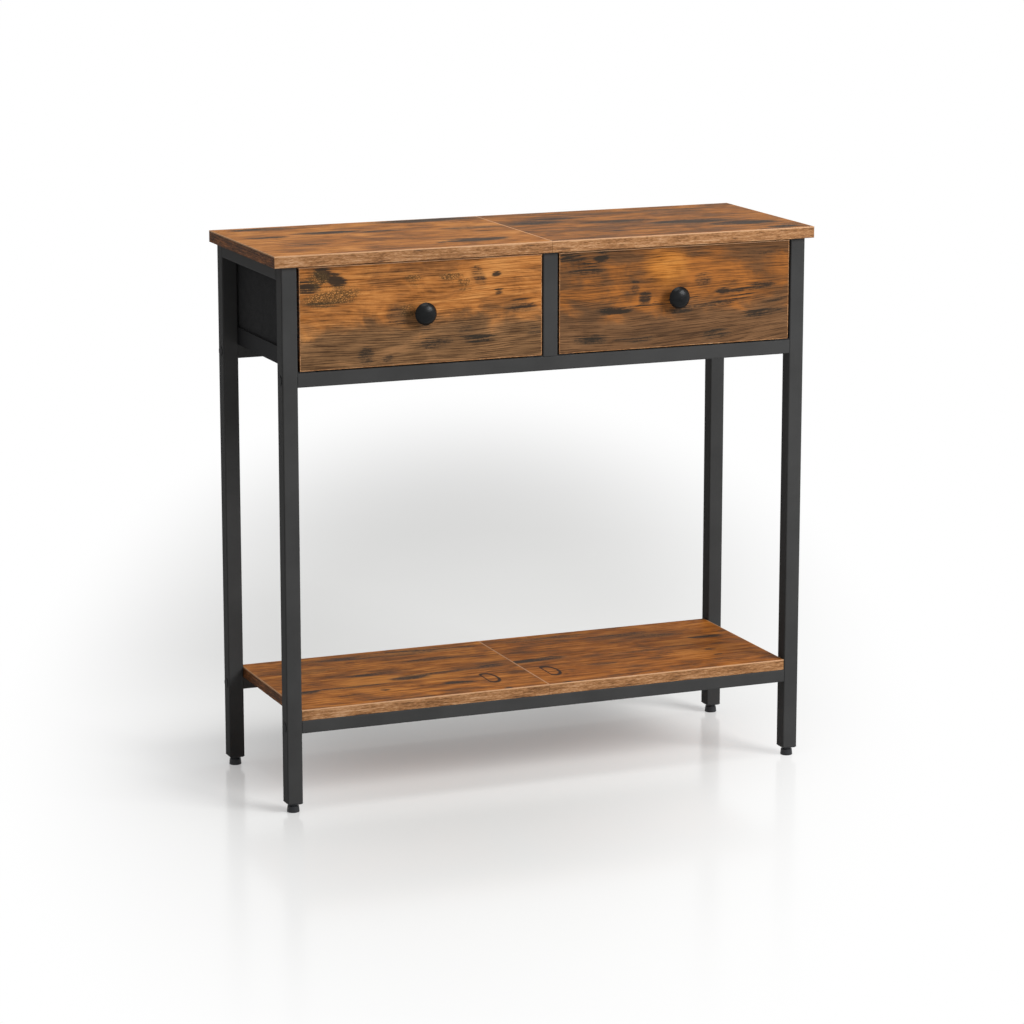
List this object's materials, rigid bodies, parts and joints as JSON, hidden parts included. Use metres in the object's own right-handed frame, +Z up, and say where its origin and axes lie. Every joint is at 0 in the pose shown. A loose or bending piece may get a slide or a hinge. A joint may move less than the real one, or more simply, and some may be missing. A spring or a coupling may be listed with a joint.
{
  "type": "console table",
  "caption": "Narrow console table with a steel tube frame, split wood-grain top and low shelf, two side-by-side fabric drawers with board fronts and round knobs, and levelling feet.",
  "frame": {"origin": "on the floor, in the middle of the whole outline, knobs included", "axes": "+Z up, +X along the table to its right-hand end as seen from the front, drawers open towards -Y"},
  "size_m": [0.8, 0.3, 0.772],
  "materials": {
    "frame_steel": "fine satin powder coat",
    "wood_board": "wood-grain melamine, matt",
    "wood_edging": "wood-grain edge band, satin",
    "drawer_fabric": "non-woven felt",
    "fibre_panel": "fibreboard",
    "knob_black": "satin black lacquer",
    "plastic_trim": "moulded, matt",
    "foot_plastic": "moulded, satin",
    "dowel_wood": "plain beech",
    "zinc": "zinc plated"
  },
  "bodies": {
    "table_frame": {"top_board_left": "wood_board", "top_board_right": "wood_board", "top_edging_left": "wood_edging", "top_edging_right": "wood_edging", "shelf_board_left": "wood_board", "shelf_board_right": "wood_board", "shelf_edging_left": "wood_edging", "shelf_edging_right": "wood_edging", "leg_front_left": "frame_steel", "leg_front_right": "frame_steel", "leg_rear_left": "frame_steel", "leg_rear_right": "frame_steel", "side_rail_left": "frame_steel", "side_rail_right": "frame_steel", "centre_top_rail": "frame_steel", "centre_post_front": "frame_steel", "centre_post_rear": "frame_steel", "upper_rail_front": "frame_steel", "upper_rail_rear": "frame_steel", "lower_rail_front": "frame_steel", "lower_rail_rear": "frame_steel", "shelf_batten": "frame_steel", "runner_left": "frame_steel", "runner_right": "frame_steel", "runner_centre": "frame_steel", "leg_plug_front_left": "plastic_trim", "leg_plug_front_right": "plastic_trim", "leg_plug_rear_left": "plastic_trim", "leg_plug_rear_right": "plastic_trim", "frame_bolts": "zinc", "bolt_caps": "plastic_trim", "threaded_inserts": "zinc", "board_screws": "zinc", "runner_screws": "zinc", "seam_dowels": "dowel_wood"},
    "foot_front_left": {"foot_pad_front_left": "foot_plastic", "foot_stud_front_left": "zinc"},
    "foot_front_right": {"foot_pad_front_right": "foot_plastic", "foot_stud_front_right": "zinc"},
    "foot_rear_left": {"foot_pad_rear_left": "foot_plastic", "foot_stud_rear_left": "zinc"},
    "foot_rear_right": {"foot_pad_rear_right": "foot_plastic", "foot_stud_rear_right": "zinc"},
    "drawer_left": {"drawer_front_left": "wood_board", "drawer_edging_left": "wood_edging", "fabric_box_left": "drawer_fabric", "box_bottom_left": "fibre_panel", "box_panels_left": "fibre_panel", "knob_left": "knob_black", "drawer_screws_left": "zinc"},
    "drawer_right": {"drawer_front_right": "wood_board", "drawer_edging_right": "wood_edging", "fabric_box_right": "drawer_fabric", "box_bottom_right": "fibre_panel", "box_panels_right": "fibre_panel", "knob_right": "knob_black", "drawer_screws_right": "zinc"}
  },
  "joints": [
    {"name": "drawer_left_slide", "type": "slide", "parent": "table_frame", "child": "drawer_left", "axis": [0, -1, 0], "range_m": [0, 0.18]},
    {"name": "drawer_right_slide", "type": "slide", "parent": "table_frame", "child": "drawer_right", "axis": [0, -1, 0], "range_m": [0, 0.18]},
    {"name": "foot_front_left_level", "type": "slide", "parent": "table_frame", "child": "foot_front_left", "axis": [0, 0, -1], "range_m": [0, 0.008]},
    {"name": "foot_front_right_level", "type": "slide", "parent": "table_frame", "child": "foot_front_right", "axis": [0, 0, -1], "range_m": [0, 0.008]},
    {"name": "foot_rear_left_level", "type": "slide", "parent": "table_frame", "child": "foot_rear_left", "axis": [0, 0, -1], "range_m": [0, 0.008]},
    {"name": "foot_rear_right_level", "type": "slide", "parent": "table_frame", "child": "foot_rear_right", "axis": [0, 0, -1], "range_m": [0, 0.008]}
  ]
}
